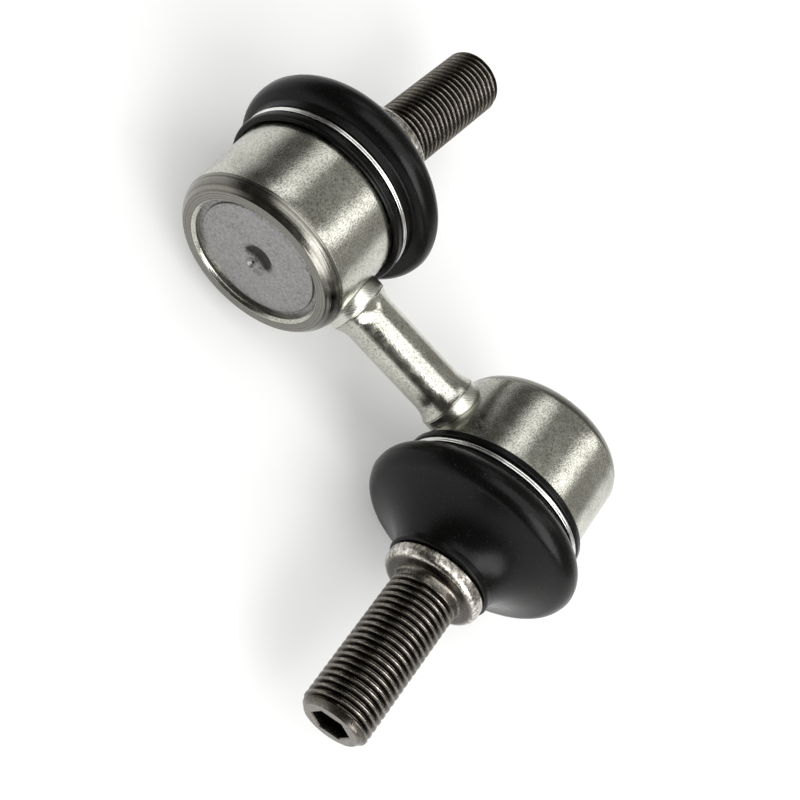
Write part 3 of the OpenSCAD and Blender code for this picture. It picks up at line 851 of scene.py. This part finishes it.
def cone(inset):
    """The boot's cone from the bulge to the bead at the small end."""
    angle = math.radians(BULGE_END)
    top = BULGE_CENTRE + Vector((math.cos(angle), math.sin(angle))) * (BULGE_R - inset)
    bottom = Vector((BEAD_R - BEAD_HOLLOW - inset, BEAD_START - inset / 2 if inset else NECK_LINE))
    bend_r = bottom.x + (top.x - bottom.x) * CONE_BEND
    bend = Vector((bend_r, top.y + (top.x - bend_r) * math.tan(CONE_SLOPE)))
    points = []
    for t in [0.0, SEAM_STEP / BOOT_STEPS] + [k / BOOT_STEPS for k in range(1, BOOT_STEPS + 1)]:
        points.append((*curve(top, bend, bottom, t), eased(CREST_SHARE + (1 - CREST_SHARE) * t)))
    return points


def boot_cuff():
    """The wide end of the boot's section: housing rib, lip, clip groove and shoulder."""
    seat_r, rib_r = HOUSING_R + BOOT_GAP, GROOVE_R + BOOT_GAP
    bead_r = MOUTH_BEAD_R + BOOT_GAP
    lip_r = seat_r + LIP_T
    rib_start, rib_end = GROOVE_START + BOOT_GAP, MOUTH_BEAD_START - BOOT_GAP
    bead_end = max(HOUSING_FRONT, CLIP_GROOVE_END) + BOOT_WALL / 2
    foot = bulge(0)[0]
    cuff = fillet([
        (bead_r, bead_end, SOFT_EDGE), (bead_r, rib_end, FINE_EDGE), (rib_r, rib_end, FINE_EDGE),
        (rib_r, rib_start, FINE_EDGE), (seat_r, rib_start, FINE_EDGE), (seat_r, LIP_START, SMALL_EDGE),
        (lip_r, LIP_START, LIP_EDGE), (lip_r, LIP_END - LIP_FALL, LIP_TOP_EDGE),
        (CLIP_GROOVE_R, LIP_END, SOFT_EDGE), (CLIP_GROOVE_R, SHOULDER_START, FINE_EDGE),
        (SHOULDER_R, SHOULDER_START, SMALL_EDGE),
        (SHOULDER_R + SHOULDER_W, CLIP_GROOVE_END - SHOULDER_H, SHOULDER_ROUND), (foot[0], foot[1], 0)], 5)
    return with_share(cuff[:-1], 0.0)


def boot_bead():
    """The small end of the boot's section: the bead around the neck ring."""
    pocket_mid = (BEAD_START + BOOT_TOP) / 2
    pocket_start, pocket_end = pocket_mid - POCKET_HALF, pocket_mid + POCKET_HALF
    bead = fillet([
        (BEAD_R - BEAD_HOLLOW, NECK_LINE, 0), (BEAD_R, NECK_LINE + BEAD_HOLLOW, BEAD_HOLLOW / 2),
        (BEAD_R, BOOT_TOP, BEAD_ROUND), (RING_R, BOOT_TOP, SOFT_EDGE), (RING_R, pocket_end, 0),
        (POCKET_R, pocket_end, 0), (POCKET_R, pocket_start, 0), (RING_R, pocket_start, 0),
        (RING_R, BEAD_START - BOOT_GAP, FINE_EDGE),
        (BEAD_R - BEAD_HOLLOW - BOOT_WALL, BEAD_START - BOOT_WALL / 2, 0)], 4)
    return with_share(bead[1:-1], 1.0)


def boot_rings(end, section):
    """The section swept round the housing's axis, each point turned by its share of the stud's tilt."""
    rings = []
    for radius, height, share in section:
        lean = end.leaned(share)
        loop = [end.place @ Vector(p) - end.ball for p in ring(radius, height, SIDES)]
        rings.append([lean @ p + end.ball for p in loop])
    return rings


def bend_line(end, low_share, high_share, start, stop):
    """Where a piece of the boot would start and stop bending, drawn in by what the rest tilt lifts its edge.
    """
    axis = end.leaned((low_share + high_share) / 2) @ end.axis
    slack = CREST_R * math.sin(end.lean.angle * (high_share - low_share) / 2)
    return [end.ball + axis * (height - BALL_HEIGHT) * MM for height in (start + slack, stop - slack)]


def make_boot(end):
    """Two pieces that meet at the end of the bulge."""
    lower = boot_cuff() + bulge(0) + bulge(BOOT_WALL)[::-1]
    upper = cone(0) + boot_bead() + cone(BOOT_WALL)[::-1]
    here = Matrix.Identity(4)
    skirt_mesh, neck_mesh = [skin(boot_rings(end, section), True) for section in (lower, upper)]
    skirt = piece(end.name + "_boot_skirt", *skirt_mesh, here, RUBBER_LOOK, BOOT_CRISP)
    neck = piece(end.name + "_boot_cone", *neck_mesh, here, RUBBER_LOOK, BOOT_CRISP)
    seam_height = bulge(0)[-1][1]
    seam_share = eased(CREST_SHARE)
    start, stop = bend_line(end, 0, seam_share, CLIP_GROOVE_END, seam_height - BOOT_WALL)
    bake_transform(skirt)
    start, stop = bend_line(end, seam_share, 1, seam_height, BEAD_START - BOOT_WALL / 2)
    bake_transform(neck)
    for obj in (skirt, neck):
        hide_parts(end.name + "_boot")


# Clip

def wire_radius(from_end):
    """The wire's radius a number of steps from its rounded end."""
    if from_end >= WIRE_END_STEPS:
        return WIRE_R
    return WIRE_R * max(WIRE_END, math.sqrt(1 - (1 - from_end / WIRE_END_STEPS) ** 2))


def middle(loop):
    """The middle of a loop of points, as a pole."""
    return [tuple(sum(p[c] for p in loop) / len(loop) for c in range(3))]


def make_clip(end):
    """Spring wire wound round the boot's groove."""
    coil_r = CLIP_R - WIRE_R
    start = CLIP_START + WIRE_R - CLIP_DROP
    rings = []
    for i in range(WIRE_STEPS + 1):
        t = i / WIRE_STEPS
        a = math.radians(CLIP_TURN) + 2 * math.pi * WIRE_TURNS * t
        w = wire_radius(min(i, WIRE_STEPS - i))
        loop = []
        for b in full_turn(WIRE_SIDES):
            r, h = coil_r + w * math.cos(b), start + WIRE_RISE * t + w * math.sin(b)
            loop.append((r * MM * math.cos(a), r * MM * math.sin(a), h * MM))
        rings.append(loop)
    coil = [middle(rings[0])] + rings + [middle(rings[-1])]
    clip = piece(end.name + "_wire_clip", *skin(coil), end.place, WIRE_LOOK, WIRE_CRISP)
    stands_for(clip, "link", end.name + "_clip")


# Floor, light and camera

def make_floor():
    """A plain pale floor that turns up into a low wall far out, and keeps the object's shadow."""
    height = cad_box[0].z - FLOOR_GAP
    brim = [(FLOOR_R * math.cos(t), FLOOR_R * math.sin(t), height) for t in full_turn(FLOOR_SIDES)]
    wall = [(x, y, z + FLOOR_WALL) for x, y, z in brim]
    points, faces = skin([brim, wall])
    mesh = bpy.data.meshes.new("floor")
    mesh.from_pydata(points, [], [list(range(FLOOR_SIDES))] + faces)
    floor = bpy.data.objects.new("floor", mesh)
    bpy.context.scene.collection.objects.link(floor)
    look = Look("floor", metallic=0.0)
    look.set("Base Color", (FLOOR_TONE, FLOOR_TONE, FLOOR_TONE, 1))
    look.set("Roughness", FLOOR_ROUGHNESS)
    look.set("Specular IOR Level", FLOOR_SHINE)
    look.set("Emission Color", (1, 1, 1, 1))
    rays = look.add("ShaderNodeLightPath").outputs
    seen = look.math("MAXIMUM", rays["Is Camera Ray"], rays["Is Glossy Ray"])
    seen = look.math("MAXIMUM", seen, rays["Is Transmission Ray"])
    look.feed("Emission Strength", look.math("MULTIPLY", seen, FLOOR_LIFT))
    mesh.materials.append(look.material)


def make_light(name, azimuth, elevation, distance, size, power):
    """A soft box that faces the object from a direction given in degrees."""
    azimuth, elevation = math.radians(azimuth), math.radians(elevation)
    flat = distance * math.cos(elevation)
    place = Vector((flat * math.cos(azimuth), flat * math.sin(azimuth), distance * math.sin(elevation)))
    data = bpy.data.lights.new(name, "AREA")
    data.shape = "RECTANGLE"
    data.size, data.size_y = size
    data.energy = power
    light = bpy.data.objects.new(name, data)
    light.location = place
    light.rotation_euler = place.to_track_quat("Z", "Y").to_euler()
    bpy.context.scene.collection.objects.link(light)


def make_world():
    """A dim room, brighter on one side."""
    world = bpy.data.worlds.new("studio")
    bpy.context.scene.world = world
    world.use_nodes = True
    tree = world.node_tree
    direction = tree.nodes.new("ShaderNodeTexCoord").outputs["Generated"]
    side = tree.nodes.new("ShaderNodeVectorMath")
    side.operation = "DOT_PRODUCT"
    tree.links.new(direction, side.inputs[0])
    side.inputs[1].default_value = ROOM_BRIGHT_SIDE
    spread = tree.nodes.new("ShaderNodeMapRange")
    spread.inputs["From Min"].default_value = -1
    tree.links.new(side.outputs["Value"], spread.inputs["Value"])
    ramp = tree.nodes.new("ShaderNodeValToRGB")
    set_stops(ramp.color_ramp, ROOM_TONES)
    tree.links.new(spread.outputs[0], ramp.inputs["Fac"])
    tree.links.new(ramp.outputs["Color"], tree.nodes["Background"].inputs["Color"])


def make_camera():
    """A camera at the photograph's viewing angle."""
    data = bpy.data.cameras.new("camera")
    data.sensor_fit = "HORIZONTAL"
    data.sensor_width = CAMERA_SENSOR
    data.lens = CAMERA_LENS
    data.clip_start = CAMERA_CLIP
    camera = bpy.data.objects.new("camera", data)
    camera.location = CAMERA_PLACE
    camera.rotation_euler = Euler([math.radians(a) for a in CAMERA_TURN])
    bpy.context.scene.collection.objects.link(camera)
    bpy.context.scene.camera = camera


for the_end in (End("upper", 1), End("lower", -1)):
    make_weld(the_end)
    make_housing(the_end)
    make_cap(the_end)
    make_stud(the_end)
    make_boot(the_end)
    make_clip(the_end)
make_rod()

# The CAD nodes that still show are the seats and the neck rings
for node_name, node_object in nodes.items():
    if not node_object.hide_render:
        hidden_look = SEAT_LOOK if "seat" in node_name else ROD_LOOK
        node_object.data.materials.clear()
        node_object.data.materials.append(hidden_look.material)

make_floor()
make_world()
for soft_box in SOFT_BOXES:
    make_light(*soft_box)
make_camera()
bpy.context.scene.view_settings.view_transform = "Standard"
